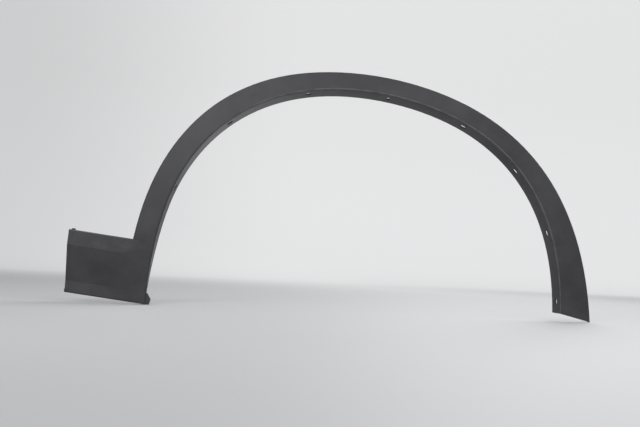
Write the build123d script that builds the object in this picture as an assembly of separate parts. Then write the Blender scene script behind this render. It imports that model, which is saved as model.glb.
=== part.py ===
from build123d import *
import math
import os

# Front wheel arch trim for the right-hand side of a car, moulded in one piece.
# X runs to the front of the car, Y inboard and Z up, in millimetres and degrees.
# Angles round the arch start at the top and grow towards the front.
# The shape is worked out about the wheel's axis, then moved to the crown fixing hole.

# Driving dimensions: the line of the wheel opening
opening_radius = 401.7
shoulder_rise = 7.8
rear_swell = 8.65
crown_angle = 5.8
front_plan_radius = 4000.0
rear_plan_radius = 13300.0
rear_flare = 0.284
rear_flare_angle = -72.0
rear_flare_ease = 5.0

# Driving dimensions: the moulded section
wall = 2.6
crown_face = 34.3
rear_face = 41.3
front_face = 62.5
rear_face_angle = 45.0
front_face_angle = 90.0
front_face_growth = 2.3
face_fall = 6.0
flange_depth = 36.0
flange_lean = 6.3
rear_splay = 0.15
lip_depth = 9.0
crease_round = 3.2
edge_break = 1.8

# Driving dimensions: the two ends
front_end_x = 394.0
front_end_z = -11.0
front_end_slope = 13.1
loft_overrun = 6.0
loft_steps = 17
tab_reach = 7.7
tab_height = 21.0
tab_foot = 5.0
tab_shoulder = 9.7

# Driving dimensions: the sill plate at the rear end
plate_reach = 546.0
plate_top = 107.4
plate_height = 116.0
plate_slope = 6.3
plate_inset = 15.0
plate_wall = 2.2
plate_back = 28.0
plate_steps = 5
top_strip = 28.0
bottom_strip = 22.0
top_setback = 6.0
fold_setback = -1.0
lower_setback = 5.0
foot_setback = 3.5
fade_start = 0.5
leg_slant = 0.12
seam_sink = 0.3
nib_length = 6.0
nib_height = 2.5
nib_inset = 4.0

# Driving dimensions: fixing holes in the flange
hole_depth = 18.0
locating_hole = 8.2
slot_length = 12.0
slot_width = 8.0
rear_pitch = 22.4
front_start = 23.1
front_pitch = 19.8
rear_slots = 4
front_slots = 4

# Driving dimensions: clip boxes and gussets behind the face
clip_length = 28.0
clip_width = 17.0
clip_height = 13.0
clip_wall = 1.8
clip_hole = 9.0
clip_neck = 6.5
gusset_reach = 15.0
gusset_thickness = 1.6
plate_clip_inset = 34.0
plate_clip_pitch = 40.0


def rear_run(angle):
    """Degrees run past the start of the rear leg's flare, eased in from nothing."""
    past = max(rear_flare_angle - angle, 0.0)
    return past * past / (past + rear_flare_ease)


def crease_radius(angle):
    """Wheel axis to the crease between face and flange."""
    turn = math.radians(angle - crown_angle)
    radius = opening_radius - shoulder_rise * math.cos(4 * turn) - rear_swell * math.sin(2 * turn)
    return radius + rear_flare * rear_run(angle)


def face_width(angle):
    """Width of the face, which grows from the crown to both ends."""
    if angle < 0:
        share = min(-angle / rear_face_angle, 1.0)
        return crown_face + (rear_face - crown_face) * math.sin(math.pi / 2 * share) ** 2
    share = angle / front_face_angle
    return crown_face + (front_face - crown_face) * share**front_face_growth


def sweep_back(x):
    """How far the crease lies inboard of its outermost point."""
    plan_radius = front_plan_radius if x > 0 else rear_plan_radius
    return x * x / (2 * plan_radius)


def crease_depth(angle):
    return sweep_back(crease_radius(angle) * math.sin(math.radians(angle)))


def lean(angle):
    """How far the flange's inner edge stands nearer the wheel's axis than the crease."""
    return flange_lean * math.cos(math.radians(angle - crown_angle)) - rear_splay * rear_run(angle)


def radial_plane(angle):
    """Section plane through the wheel's axis: local X is radius, local Y is depth."""
    turn = math.radians(angle)
    return Plane(
        origin=(0, 0, 0),
        x_dir=(math.sin(turn), 0, math.cos(turn)),
        z_dir=(-math.cos(turn), 0, math.sin(turn)),
    )


def left_normal(start, end):
    along = (end - start).normalized()
    return Vector(-along.Y, along.X)


def inner_corner(before, corner, after):
    """Corner of two sides moved to their left by the wall."""
    first = left_normal(before, corner)
    second = left_normal(corner, after)
    return corner + (first + second) * (wall / (1 + first.dot(second)))


def channel_section(angle):
    """Closed outline of the channel: flange, face and outer lip."""
    radius = crease_radius(angle)
    front = crease_depth(angle)
    edge_radius = radius + face_width(angle)
    flange_end = Vector(radius - lean(angle), front + flange_depth)
    crease = Vector(radius, front)
    edge = Vector(edge_radius, front + face_fall)
    lip_end = Vector(edge_radius, front + face_fall + lip_depth)
    outline = FilletPolyline(
        flange_end,
        crease,
        edge - (edge - crease).normalized() * edge_break,
        edge + (lip_end - edge).normalized() * edge_break,
        lip_end,
        lip_end + left_normal(edge, lip_end) * wall,
        inner_corner(crease, edge, lip_end),
        inner_corner(flange_end, crease, edge),
        flange_end + left_normal(flange_end, crease) * wall,
        radius=[0, crease_round, 0, 0, 0, 0, 0, 0, 0],
        close=True,
    )
    return radial_plane(angle) * make_face(outline)


def leg_depth(x, z):
    """Depth of the rear leg's face at a point of the side view."""
    angle = math.degrees(math.atan2(x, z))
    from_crease = math.hypot(x, z) - crease_radius(angle)
    return crease_depth(angle) + face_fall * from_crease / face_width(angle)


def plate_line(x):
    """Height of the plate's top edge, which falls towards the arch."""
    return plate_top - (x + plate_reach) * plate_fall


def plate_section(x, shrink):
    """Section of the plate, upright and folded at the outer end, slanted and flat along the leg."""
    share = (x + plate_reach) / (leg_x + plate_reach)
    blend = min(max((share - fade_start) / (1 - fade_start), 0.0), 1.0)
    folded = 1 - blend * blend * (3 - 2 * blend)
    slant = leg_slant * share
    back = plate_back + (plate_back if shrink else 0)
    foot = plate_height - shrink

    def height(drop):
        return (plate_line(x) - drop) / (1 + slant * plate_fall)

    def front(drop, setback, chamfer):
        z = height(drop)
        flush = leg_depth(leg_x + leg_slant * z, z) + seam_sink
        depth = folded * (sweep_back(x) + setback) + (1 - folded) * flush
        return (x + slant * z, depth + chamfer + shrink, z)

    outline = Polyline(
        front(shrink, top_setback, edge_break),
        front(shrink + edge_break, top_setback, 0),
        front(top_strip, fold_setback, 0),
        front(plate_height - bottom_strip, lower_setback, 0),
        front(foot - edge_break, foot_setback, 0),
        front(foot, foot_setback, edge_break),
        (x + slant * height(foot), back, height(foot)),
        (x + slant * height(shrink), back, height(shrink)),
        close=True,
    )
    return make_face(outline)


def plate_block(start, end, shrink):
    """Plate as a block whose front face fades from folded to flush with the leg."""
    step = (end - start) / plate_steps
    return loft([plate_section(start + step * count, shrink) for count in range(plate_steps + 1)])


def sloping_plane(x, z, slope):
    """Plane whose local X falls towards the front and whose local Y points inboard."""
    turn = math.radians(slope)
    return Plane(
        origin=(x, 0, z),
        x_dir=(math.cos(turn), 0, -math.sin(turn)),
        z_dir=(math.sin(turn), 0, math.cos(turn)),
    )


def below(x, z, slope):
    """Block under a line through (x, z) that falls towards the front."""
    size = opening_radius
    return sloping_plane(x, z, slope) * Pos(0, 0, -size / 2) * Box(size, size, size)


def foot_web():
    """Wall that carries the plate's lower return across the leg to the flange."""
    foot = plate_line(leg_x) - plate_height
    start = leg_x + leg_slant * foot - wall
    length = -crease_radius(-90) - wall / 2 - start
    outline = Polyline(
        (0, leg_depth(start, foot) + wall / 2),
        (length, crease_depth(-90) + wall / 2),
        (length, plate_back),
        (0, plate_back),
        close=True,
    )
    plane = sloping_plane(start, plate_line(start) - plate_height, plate_slope)
    return plane * extrude(make_face(outline), amount=wall)


def foot_tab():
    """Small tab at the foot that stands out from the crease towards the wheel."""
    crease_x = -crease_radius(-90)
    foot = plate_line(crease_x) - plate_height
    outline = Polyline(
        (crease_x - wall / 2, foot),
        (crease_x + tab_foot, foot),
        (crease_x + tab_reach, foot + tab_shoulder),
        (crease_x + wall / 2, foot + tab_height),
        (crease_x - wall / 2, foot + tab_height),
        close=True,
    )
    plane = Plane(origin=(0, crease_depth(-90) + wall, 0), x_dir=(1, 0, 0), z_dir=(0, -1, 0))
    return plane * extrude(make_face(outline), amount=-wall)


def plate_nibs():
    """Locating nibs on the plate's outer corners: one on the top edge, one on the end."""
    top_x = -plate_reach + nib_inset + nib_length / 2
    bottom = plate_top - plate_height
    depth = plate_back - sweep_back(-plate_reach) - top_setback - 2 * wall
    middle = plate_back - depth / 2
    top_nib = Pos(top_x, middle, plate_line(top_x)) * Box(nib_length, depth, 2 * nib_height)
    end_nib = Pos(-plate_reach, middle, bottom + nib_length / 2) * Box(2 * nib_height, depth, nib_length)
    return [top_nib, end_nib]


def plate_clip_plane(drop):
    """Plane in the middle of the plate's wall, at a drop below the middle of its main panel."""
    x = -plate_reach + plate_clip_inset
    panel = plate_height - top_strip - bottom_strip
    height = plate_line(x) - top_strip - panel / 2 - drop
    setback = (fold_setback + lower_setback) / 2 + (lower_setback - fold_setback) * drop / panel
    inward = Vector(0, panel, lower_setback - fold_setback)
    return Plane(origin=(x, sweep_back(x) + setback + wall / 2, height), x_dir=(1, 0, 0), z_dir=inward)


def flange_plane(angle):
    """Plane on the flange's wheel side: local X along the arch, Z away from the wheel."""
    share = hole_depth / flange_depth
    section = radial_plane(angle)
    start = Vector(crease_radius(angle) - lean(angle) * share, crease_depth(angle) + hole_depth)
    origin = section.from_local_coords(start)
    outward = section.x_dir * flange_depth + Vector(0, 1, 0) * lean(angle)
    return Plane(origin=origin, x_dir=section.z_dir, z_dir=outward)


def slot_angles():
    rear = [crown_angle - rear_pitch * (count + 1) for count in range(rear_slots)]
    front = [crown_angle + front_start + front_pitch * count for count in range(front_slots)]
    return sorted(rear + front)


def flange_hole(angle, outline):
    return flange_plane(angle) * extrude(outline, amount=2 * wall, both=True)


def clip_box():
    """Box for a snap clip, open at one end, with a keyhole in its roof; local Z points inboard."""
    align = (Align.CENTER, Align.CENTER, Align.MIN)
    box = Box(clip_length, clip_width, clip_height, align=align)
    inside_width = clip_width - 2 * clip_wall
    inside = Box(clip_length, inside_width, clip_height - clip_wall, align=align)
    neck = Pos(clip_length / 4, 0, 0) * Box(clip_length / 2, clip_neck, 2 * clip_height, align=align)
    keyhole = Cylinder(clip_hole / 2, 2 * clip_height, align=align)
    return box - Pos(clip_wall, 0, 0) * inside - neck - keyhole


def face_plane(angle):
    """Plane in the middle of the face's wall: local X along the arch, Z into the channel."""
    section = radial_plane(angle)
    width = face_width(angle)
    middle = Vector(crease_radius(angle) + width / 2, crease_depth(angle) + face_fall / 2 + wall / 2)
    inward = Vector(0, 1, 0) * width - section.x_dir * face_fall
    return Plane(origin=section.from_local_coords(middle), x_dir=section.z_dir, z_dir=inward)


def gusset(angle):
    """Triangular web between the flange and the face."""
    radius = crease_radius(angle)
    front = crease_depth(angle)
    face_share = gusset_reach / face_width(angle)
    flange_share = gusset_reach / flange_depth
    corner = Vector(radius + wall / 2, front + wall / 2)
    on_face = Vector(radius + gusset_reach, front + face_fall * face_share + wall / 2)
    on_flange = Vector(radius - lean(angle) * flange_share + wall / 2, front + gusset_reach)
    web = make_face(Polyline(corner, on_face, on_flange, close=True))
    return radial_plane(angle) * extrude(web, amount=gusset_thickness / 2, both=True)


def between(angles, share):
    """Angle at a share of the way from each of these angles to the next."""
    return [low + (high - low) * share for low, high in zip(angles, angles[1:])]


# Where the plate's front runs out on the face of the rear leg, and how steeply its edges fall
leg_x = -crease_radius(-90) - plate_inset
plate_fall = math.tan(math.radians(plate_slope))

# The channel, a little longer than the trim at both ends
first_angle = -90 - loft_overrun
last_angle = 90 + loft_overrun
step_angle = (last_angle - first_angle) / loft_steps
trim = loft([channel_section(first_angle + step_angle * step) for step in range(loft_steps + 1)])

# The sill plate, hollowed from behind and through the lip of the leg beside it
trim += plate_block(-plate_reach, leg_x, 0)
trim += plate_nibs()
trim -= plate_block(-plate_reach + plate_wall, leg_x + plate_inset / 2, plate_wall)

# Both ends cut to their slopes
trim -= below(-plate_reach, plate_top - plate_height, plate_slope)
trim -= below(front_end_x, front_end_z, front_end_slope)
trim += [foot_web(), foot_tab()]

# Fixing holes: a round one at the crown locates the trim, slots take up its tolerances
angles = slot_angles()
slot = SlotOverall(slot_length, slot_width)
trim -= flange_hole(crown_angle, Circle(locating_hole / 2))
trim -= [flange_hole(angle, slot) for angle in angles]

# Clip boxes and gussets between the fixing holes
hole_angles = sorted(angles + [crown_angle])
trim += [face_plane(angle) * clip_box() for angle in between(hole_angles, 1 / 2)]
trim += [gusset(angle) for share in (1 / 5, 4 / 5) for angle in between(hole_angles, share)]
trim += [plate_clip_plane(drop) * clip_box() for drop in (-plate_clip_pitch / 2, plate_clip_pitch / 2)]

# The origin is the crown fixing hole, in the middle of the flange's wall
crown_plane = flange_plane(crown_angle)
datum = crown_plane.origin + crown_plane.z_dir * (wall / 2)
trim = Pos(-datum.X, -datum.Y, -datum.Z) * trim

os.makedirs("parts", exist_ok=True)
export_step(trim, "parts/arch_trim.step")
print("datum from the wheel axis", datum, "hole axis", crown_plane.z_dir * -1)
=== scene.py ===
import bmesh
import bpy
import math
from mathutils import Matrix, Vector


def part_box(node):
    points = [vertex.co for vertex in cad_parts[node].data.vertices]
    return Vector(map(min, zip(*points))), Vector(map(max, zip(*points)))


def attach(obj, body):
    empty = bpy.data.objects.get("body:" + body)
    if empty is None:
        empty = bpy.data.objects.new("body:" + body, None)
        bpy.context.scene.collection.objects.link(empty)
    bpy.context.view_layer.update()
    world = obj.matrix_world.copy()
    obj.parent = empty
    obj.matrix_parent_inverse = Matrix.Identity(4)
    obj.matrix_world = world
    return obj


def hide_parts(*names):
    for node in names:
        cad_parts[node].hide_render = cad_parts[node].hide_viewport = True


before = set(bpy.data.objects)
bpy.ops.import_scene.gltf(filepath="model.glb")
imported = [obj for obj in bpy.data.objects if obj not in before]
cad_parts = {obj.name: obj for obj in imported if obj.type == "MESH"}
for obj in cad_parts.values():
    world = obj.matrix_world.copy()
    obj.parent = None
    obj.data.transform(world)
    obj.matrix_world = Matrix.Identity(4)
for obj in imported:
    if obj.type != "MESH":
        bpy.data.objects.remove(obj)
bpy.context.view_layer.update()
trim_low, trim_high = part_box("arch_trim")

# Camera: its place in the trim's frame in metres, its turns in degrees and its lens
CAMERA_PLACE = Vector((-0.2502, -1.4618, -0.3329))
CAMERA_YAW = 5.0
CAMERA_PITCH = 4.0
CAMERA_ROLL = 2.6
FOCAL_PIXELS = 773.0
IMAGE_WIDTH = 640
SENSOR_WIDTH = 36.0

# Skin of the moulding: merging and smoothing of the solid's facets, in metres and degrees
MERGE_GAP = 0.00002
FLAT_ANGLE = 0.3
ROUND_ANGLE = 50.0
LEDGE_ANGLE = 20.0
FOLD_ANGLE = 5.0

# Where the plate's folds end, where its ledge has faded into the leg, and the wheel's axis
PLATE_END_X = -0.470
LEDGE_END_X = -0.436
WHEEL_X = -0.0396
WHEEL_Z = -0.3900

# Painted highlight and wear, painted shade, smooth flange: pairs run from none to full, over metres or
# over parts of a normal
# Where a painted highlight, partly handling wear, pales the crease and the plate's top edge
HIGHLIGHT_AND_WEAR_ALONG = (-0.42, -0.22)
HIGHLIGHT_AND_WEAR_UP = (-0.60, -0.20)
OFF_FACE = (0.0, 0.30)
OFF_FLANGE = (0.30, 0.60)
TOP_EDGE_LEAN = 0.4
TOP_EDGE_HIGHLIGHT_AND_WEAR = 0.6
# Where painted shade darkens the plate's up-facing top strip
PAINTED_SHADE_LOW_Z = -0.33
PAINTED_SHADE_LEAN = (0.06, 0.18)
PAINTED_SHADE_FACING = 0.9
FLANGE_FACING = (0.75, 0.95)

# Charcoal plastic: colours, gloss, grain, clouds of tone and patches of painted highlight and shade, with
# sizes in metres
CHARCOAL = (0.0355, 0.034, 0.0375, 1.0)
CHARCOAL_WORN = (0.0600, 0.0585, 0.0620, 1.0)
# Painted shade for the plate's top strip
CHARCOAL_PAINTED_SHADE = (0.0255, 0.0248, 0.0276, 1.0)
# Painted highlight, partly handling wear, for the crease and the plate's top edge
CHARCOAL_HIGHLIGHT_AND_WEAR = (0.145, 0.143, 0.147, 1.0)
PLASTIC_SPECULAR = 0.3
FLANGE_ROUGHNESS = 0.30
FLANGE_GRAIN = 0.1
GRAIN_SIZE = 0.0009
GRAIN_DEPTH = 0.00008
GRAIN_STRENGTH = 0.6
CLOUD_SIZE = 0.09
CLOUD_DETAIL = 5.0
CLOUD_ROUGHNESS = 0.6
CLOUD_TONES = (0.36, 0.70)
CLOUD_SHEEN = (0.3, 0.7)
PLASTIC_ROUGHNESS = (0.46, 0.58)
PATCH_SIZE = 0.02
PATCH_DETAIL = 4.0
PATCH_SPREAD = (0.3, 0.6)
PATCH_COVER = (0.45, 1.0)

# Backdrop: its colours, its glow and shade to the camera and to glossy surfaces, and its size in metres
FLOOR_COLOUR = (0.40, 0.40, 0.403, 1.0)
WALL_COLOUR = (0.36, 0.36, 0.365, 1.0)
SHEET_ROUGHNESS = 0.6
GLOW_COLOUR = (1.0, 1.0, 1.0, 1.0)
FLOOR_GLOW = 0.17
WALL_GLOW = 0.62
GLOW_DEPTHS = (1.0, 3.6)
SIDE_GLOW = 0.75
SIDE_PLACES = (-2.2, 0.2)
SHEEN_GLOW = 0.7
SHEEN_DEPTHS = (0.7, 1.3)
SHEEN_FADE_DEPTHS = (1.6, 3.0)
SHEEN_PLACES = (-0.7, 0.2)
SHADE_COLOUR = (0.04, 0.04, 0.04, 1.0)
STAGE_WIDTH = 18.0
STAGE_NEAR = 9.0
STAGE_FAR = 3.0
STAGE_HEIGHT = 2.0
SWEEP_RADIUS = 1.5
SWEEP_STEPS = 24

# World and lamps: offsets from the middle of the trim in metres, powers in watts, spreads in degrees
WORLD_COLOUR = (0.95, 0.97, 1.0, 1.0)
WORLD_STRENGTH = 0.5
WORLD_GLOW = 0.78
KEY_OFFSET = Vector((0.1, -1.0, 0.78))
KEY_SIZE = (1.9, 0.5)
KEY_POWER = 7.6
FILL_OFFSET = Vector((-0.8, -1.2, 0.55))
FILL_AIM = Vector((-0.34, 0.0, 0.08))
FILL_SIZE = (0.4, 0.7)
FILL_POWER = 1.15
FILL_SPREAD = 70.0
SIDE_OFFSET = Vector((1.35, -1.1, 0.2))
SIDE_SIZE = (0.5, 0.8)
SIDE_POWER = 0.8
SIDE_SPREAD = 110.0
BACK_OFFSET = Vector((1.2, 1.5, 1.3))
BACK_SIZE = (2.0, 1.0)
BACK_POWER = 32.0
OPEN_SPREAD = 180.0


def link(obj):
    """An object put into the scene."""
    bpy.context.scene.collection.objects.link(obj)
    return obj


def wire(owner, start, end):
    """A link between two nodes of a material or of the world."""
    owner.node_tree.links.new(start, end)


def ramp(owner, value, start, end, low, high, shape="SMOOTHSTEP"):
    """A value that runs from low to high between two places and stays level beyond them."""
    span = owner.node_tree.nodes.new("ShaderNodeMapRange")
    span.interpolation_type = shape
    span.inputs["From Min"].default_value = start
    span.inputs["From Max"].default_value = end
    span.inputs["To Min"].default_value = low
    span.inputs["To Max"].default_value = high
    wire(owner, value, span.inputs["Value"])
    return span.outputs["Result"]


def combined(material, operation, first, second):
    """Two values multiplied or added."""
    node = material.node_tree.nodes.new("ShaderNodeMath")
    node.operation = operation
    wire(material, first, node.inputs[0])
    wire(material, second, node.inputs[1])
    return node.outputs["Value"]


def overlay(material, attribute, patchy, under, colour):
    """A colour laid over another in patches, as far as an attribute of the skin says."""
    nodes = material.node_tree.nodes
    cover = nodes.new("ShaderNodeAttribute")
    cover.attribute_name = attribute
    mix = nodes.new("ShaderNodeMix")
    mix.data_type = "RGBA"
    mix.inputs["B"].default_value = colour
    wire(material, combined(material, "MULTIPLY", cover.outputs["Fac"], patchy), mix.inputs["Factor"])
    wire(material, under, mix.inputs["A"])
    return mix.outputs["Result"]


def charcoal_plastic():
    """Dark plastic: cloudy tone, painted edge highlight with wear, painted shade, and fine grain, less on
    the flange.
    """
    material = bpy.data.materials.new("charcoal_plastic")
    material.use_nodes = True
    nodes = material.node_tree.nodes
    shader = nodes["Principled BSDF"]
    shader.inputs["Specular IOR Level"].default_value = PLASTIC_SPECULAR
    place = nodes.new("ShaderNodeTexCoord")

    cloud = nodes.new("ShaderNodeTexNoise")
    cloud.inputs["Scale"].default_value = 1 / CLOUD_SIZE
    cloud.inputs["Detail"].default_value = CLOUD_DETAIL
    cloud.inputs["Roughness"].default_value = CLOUD_ROUGHNESS
    wire(material, place.outputs["Object"], cloud.inputs["Vector"])
    tone = nodes.new("ShaderNodeValToRGB")
    for stop, position, colour in zip(tone.color_ramp.elements, CLOUD_TONES, (CHARCOAL, CHARCOAL_WORN)):
        stop.position = position
        stop.color = colour
    wire(material, cloud.outputs["Fac"], tone.inputs["Fac"])

    patches = nodes.new("ShaderNodeTexNoise")
    patches.inputs["Scale"].default_value = 1 / PATCH_SIZE
    patches.inputs["Detail"].default_value = PATCH_DETAIL
    wire(material, place.outputs["Object"], patches.inputs["Vector"])
    patchy = ramp(material, patches.outputs["Fac"], *PATCH_SPREAD, *PATCH_COVER)
    # Painted shade on the plate's top strip, in patches
    strip_shaded = overlay(material, "strip_painted_shade", patchy, tone.outputs["Color"], CHARCOAL_PAINTED_SHADE)
    # A painted highlight, partly wear, along the crease and the plate's top edge, in patches
    edges_lit_and_worn = overlay(material, "crease_highlight_and_wear", patchy, strip_shaded, CHARCOAL_HIGHLIGHT_AND_WEAR)
    wire(material, edges_lit_and_worn, shader.inputs["Base Color"])

    grain = nodes.new("ShaderNodeTexVoronoi")
    grain.inputs["Scale"].default_value = 1 / GRAIN_SIZE
    wire(material, place.outputs["Object"], grain.inputs["Vector"])
    bump = nodes.new("ShaderNodeBump")
    bump.inputs["Distance"].default_value = GRAIN_DEPTH
    flange = nodes.new("ShaderNodeAttribute")
    flange.attribute_name = "smooth_flange"
    strength = ramp(material, flange.outputs["Fac"], 0.0, 1.0, GRAIN_STRENGTH, FLANGE_GRAIN)
    wire(material, strength, bump.inputs["Strength"])
    wire(material, grain.outputs["Distance"], bump.inputs["Height"])
    wire(material, bump.outputs["Normal"], shader.inputs["Normal"])

    cloudy = ramp(material, cloud.outputs["Fac"], *CLOUD_SHEEN, *PLASTIC_ROUGHNESS, shape="LINEAR")
    dull = nodes.new("ShaderNodeMix")
    dull.data_type = "FLOAT"
    dull.inputs["B"].default_value = FLANGE_ROUGHNESS
    wire(material, flange.outputs["Fac"], dull.inputs["Factor"])
    wire(material, cloudy, dull.inputs["A"])
    wire(material, dull.outputs["Result"], shader.inputs["Roughness"])
    return material


def real_edge(edge):
    """Whether two faces meet in an edge of the moulding, and not in a facet of a curve."""
    angle = math.degrees(edge.calc_face_angle(0.0))
    first, second = edge.verts
    inner_x = max(first.co.x, second.co.x)
    run = second.co - first.co
    if inner_x < PLATE_END_X and abs(run.x) > abs(run.z):
        return angle > FOLD_ANGLE
    if inner_x < LEDGE_END_X:
        return angle > LEDGE_ANGLE
    return angle > ROUND_ANGLE


def share(value, start, end):
    """How far a value has come from a start to an end, from 0 to 1."""
    return min(max((value - start) / (end - start), 0.0), 1.0)


def to_wheel(place, normal):
    """How far a normal turns towards the wheel's axis, from -1 to 1."""
    outward = Vector((place.x - WHEEL_X, 0.0, place.z - WHEEL_Z)).normalized()
    return -normal.dot(outward)


def crease_highlight_and_wear(place, normal):
    """How far a painted highlight, partly handling wear, pales the crease, less at both ends, and the
    plate's top edge.
    """
    if place.x < PLATE_END_X:
        on_top_edge = normal.z > TOP_EDGE_LEAN and normal.y < -TOP_EDGE_LEAN
        return TOP_EDGE_HIGHLIGHT_AND_WEAR if on_top_edge else 0.0
    off_face = share(to_wheel(place, normal), *OFF_FACE)
    off_flange = share(-normal.y, *OFF_FLANGE)
    along = share(place.x, *HIGHLIGHT_AND_WEAR_ALONG)
    up = share(place.z, *HIGHLIGHT_AND_WEAR_UP)
    return min(off_face, off_flange) * min(along, up)


def strip_painted_shade(place, normal):
    """How far painted shade darkens a place: the plate's top strip as it faces up, to where it runs out
    into the leg.
    """
    if place.x > LEDGE_END_X or place.z < PAINTED_SHADE_LOW_Z or normal.y > -PAINTED_SHADE_FACING:
        return 0.0
    return share(normal.z, *PAINTED_SHADE_LEAN)


def smooth_flange(place, normal):
    """How far a place belongs to the smooth side of the flange, which faces the wheel."""
    return share(to_wheel(place, normal), *FLANGE_FACING)


def corner_normals(mesh):
    """A normal for each corner: faces joined by smooth edges are averaged by their areas."""
    sharp = {edge.key for edge in mesh.edges if edge.use_edge_sharp}
    corners = [[] for _ in mesh.vertices]
    for face in mesh.polygons:
        for loop in face.loop_indices:
            corners[mesh.loops[loop].vertex_index].append((face, loop))
    normals = [Vector((0.0, 0.0, 1.0))] * len(mesh.loops)
    for around in corners:
        left = list(around)
        while left:
            fan = [left.pop()]
            for face, _ in fan:
                keys = {key for key in face.edge_keys if key not in sharp}
                joined = [item for item in left if keys.intersection(item[0].edge_keys)]
                fan.extend(joined)
                left = [item for item in left if item not in joined]
            total = Vector((0.0, 0.0, 0.0))
            for face, _ in fan:
                total += face.normal * face.area
            for _, loop in fan:
                normals[loop] = total.normalized()
    return normals


def moulded_skin(material):
    """The trim's visible skin: its solid's facets merged and smoothed between its real edges."""
    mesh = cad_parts["arch_trim"].data.copy()
    mesh.name = "arch_trim_skin"
    skin = bmesh.new()
    skin.from_mesh(mesh)
    bmesh.ops.remove_doubles(skin, verts=skin.verts, dist=MERGE_GAP)
    bmesh.ops.dissolve_limit(
        skin,
        angle_limit=math.radians(FLAT_ANGLE),
        verts=skin.verts,
        edges=skin.edges,
        use_dissolve_boundaries=False,
    )
    skin.normal_update()
    for face in skin.faces:
        face.smooth = True
    for edge in skin.edges:
        edge.smooth = not real_edge(edge)
    skin.to_mesh(mesh)
    skin.free()
    normals = corner_normals(mesh)
    mesh.normals_split_custom_set(normals)
    for measure in (crease_highlight_and_wear, strip_painted_shade, smooth_flange):
        values = mesh.attributes.new(measure.__name__, "FLOAT", "CORNER").data
        for loop, normal in zip(mesh.loops, normals):
            values[loop.index].value = measure(mesh.vertices[loop.vertex_index].co, normal)
    mesh.materials.clear()
    mesh.materials.append(material)
    piece = link(bpy.data.objects.new("arch_trim_skin", mesh))
    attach(piece, "root")
    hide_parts("arch_trim")


def pale_sheet():
    """Pale floor and wall: a glow to the eye, and for gloss a glow at the right and shade at the left."""
    material = bpy.data.materials.new("pale_sheet")
    material.use_nodes = True
    nodes = material.node_tree.nodes
    shader = nodes["Principled BSDF"]
    shader.inputs["Roughness"].default_value = SHEET_ROUGHNESS
    shader.inputs["Emission Color"].default_value = GLOW_COLOUR

    place = nodes.new("ShaderNodeTexCoord")
    split = nodes.new("ShaderNodeSeparateXYZ")
    wire(material, place.outputs["Object"], split.inputs["Vector"])
    colour = nodes.new("ShaderNodeMix")
    colour.data_type = "RGBA"
    colour.inputs["A"].default_value = FLOOR_COLOUR
    colour.inputs["B"].default_value = WALL_COLOUR
    wire(material, ramp(material, split.outputs["Y"], *GLOW_DEPTHS, 0.0, 1.0), colour.inputs["Factor"])
    path = nodes.new("ShaderNodeLightPath")
    shade_side = ramp(material, split.outputs["X"], *SHEEN_PLACES, 1.0, 0.0)
    shaded = nodes.new("ShaderNodeMix")
    shaded.data_type = "RGBA"
    shaded.inputs["B"].default_value = SHADE_COLOUR
    in_gloss = combined(material, "MULTIPLY", shade_side, path.outputs["Is Glossy Ray"])
    wire(material, in_gloss, shaded.inputs["Factor"])
    wire(material, colour.outputs["Result"], shaded.inputs["A"])
    wire(material, shaded.outputs["Result"], shader.inputs["Base Color"])

    depth_glow = ramp(material, split.outputs["Y"], *GLOW_DEPTHS, FLOOR_GLOW, WALL_GLOW)
    side_glow = ramp(material, split.outputs["X"], *SIDE_PLACES, SIDE_GLOW, 1.0)
    sheen_side = ramp(material, split.outputs["X"], *SHEEN_PLACES, 0.0, 1.0)
    sheen_depth = ramp(material, split.outputs["Y"], *SHEEN_DEPTHS, 0.0, SHEEN_GLOW)
    sheen_fade = ramp(material, split.outputs["Y"], *SHEEN_FADE_DEPTHS, 1.0, 0.0)
    sheen_glow = combined(material, "MULTIPLY", sheen_side, sheen_depth)
    sheen_glow = combined(material, "MULTIPLY", sheen_glow, sheen_fade)
    to_eye = combined(material, "MULTIPLY", depth_glow, side_glow)
    to_eye = combined(material, "MULTIPLY", to_eye, path.outputs["Is Camera Ray"])
    to_gloss = combined(material, "MULTIPLY", sheen_glow, path.outputs["Is Glossy Ray"])
    wire(material, combined(material, "ADD", to_eye, to_gloss), shader.inputs["Emission Strength"])
    return material


def backdrop():
    """Floor that runs back and sweeps up into a wall in one curve."""
    sheet = bmesh.new()
    floor_z = trim_low.z
    middle_x = (trim_low.x + trim_high.x) / 2
    near = sheet.verts.new((middle_x - STAGE_WIDTH / 2, -STAGE_NEAR, floor_z))
    start = sheet.verts.new((middle_x - STAGE_WIDTH / 2, STAGE_FAR, floor_z))
    sheet.edges.new((near, start))
    bmesh.ops.spin(
        sheet,
        geom=[start],
        cent=(middle_x, STAGE_FAR, floor_z + SWEEP_RADIUS),
        axis=(1, 0, 0),
        angle=math.radians(90),
        steps=SWEEP_STEPS,
    )
    top = max(sheet.verts, key=lambda vert: vert.co.z)
    rise = bmesh.ops.extrude_vert_indiv(sheet, verts=[top])
    bmesh.ops.translate(sheet, vec=(0, 0, STAGE_HEIGHT), verts=rise["verts"])
    wide = bmesh.ops.extrude_edge_only(sheet, edges=list(sheet.edges))
    far_side = [item for item in wide["geom"] if isinstance(item, bmesh.types.BMVert)]
    bmesh.ops.translate(sheet, vec=(STAGE_WIDTH, 0, 0), verts=far_side)
    for face in sheet.faces:
        face.smooth = True
    mesh = bpy.data.meshes.new("backdrop")
    sheet.to_mesh(mesh)
    sheet.free()
    mesh.materials.append(pale_sheet())
    stage = link(bpy.data.objects.new("backdrop", mesh))


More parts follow.
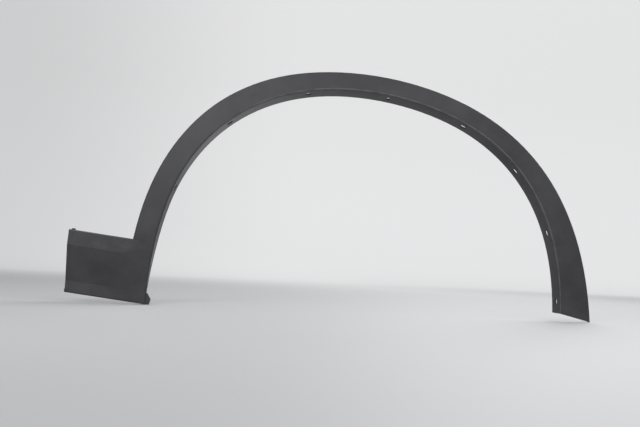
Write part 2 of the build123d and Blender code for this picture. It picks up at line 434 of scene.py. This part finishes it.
def soft_lamp(name, place, target, size, power, spread=OPEN_SPREAD):
    """A rectangular lamp turned to a target and hidden from the camera."""
    lamp = bpy.data.lights.new(name, "AREA")
    lamp.shape = "RECTANGLE"
    lamp.size, lamp.size_y = size
    lamp.energy = power
    lamp.spread = math.radians(spread)
    obj = link(bpy.data.objects.new(name, lamp))
    obj.visible_camera = False
    obj.location = place
    obj.rotation_euler = (target - place).to_track_quat("-Z", "Y").to_euler()


def studio():
    """Even light, the backdrop and four soft lamps."""
    scene = bpy.context.scene
    scene.view_settings.view_transform = "Standard"
    world = bpy.data.worlds.new("studio_light")
    world.use_nodes = True
    scene.world = world
    background = world.node_tree.nodes["Background"]
    background.inputs["Color"].default_value = WORLD_COLOUR
    path = world.node_tree.nodes.new("ShaderNodeLightPath")
    strength = ramp(world, path.outputs["Is Camera Ray"], 0.0, 1.0, WORLD_STRENGTH, WORLD_GLOW)
    wire(world, strength, background.inputs["Strength"])

    backdrop()
    middle = (trim_low + trim_high) / 2
    soft_lamp("key_lamp", middle + KEY_OFFSET, middle, KEY_SIZE, KEY_POWER)
    soft_lamp("fill_lamp", middle + FILL_OFFSET, middle + FILL_AIM, FILL_SIZE, FILL_POWER, FILL_SPREAD)
    soft_lamp("side_lamp", middle + SIDE_OFFSET, middle, SIDE_SIZE, SIDE_POWER, SIDE_SPREAD)
    soft_lamp("back_lamp", middle + BACK_OFFSET, middle, BACK_SIZE, BACK_POWER)


def camera():
    """The camera of the photograph, turned by yaw, pitch and roll."""
    lens = bpy.data.cameras.new("photo_view")
    lens.sensor_width = SENSOR_WIDTH
    lens.lens = FOCAL_PIXELS / IMAGE_WIDTH * SENSOR_WIDTH
    view = link(bpy.data.objects.new("photo_view", lens))
    yaw = math.radians(-CAMERA_YAW)
    pitch = math.radians(90 + CAMERA_PITCH)
    roll = math.radians(CAMERA_ROLL)
    turn = Matrix.Rotation(yaw, 4, "Z") @ Matrix.Rotation(pitch, 4, "X") @ Matrix.Rotation(roll, 4, "Z")
    view.matrix_world = Matrix.Translation(CAMERA_PLACE) @ turn
    bpy.context.scene.camera = view


moulded_skin(charcoal_plastic())
studio()
camera()
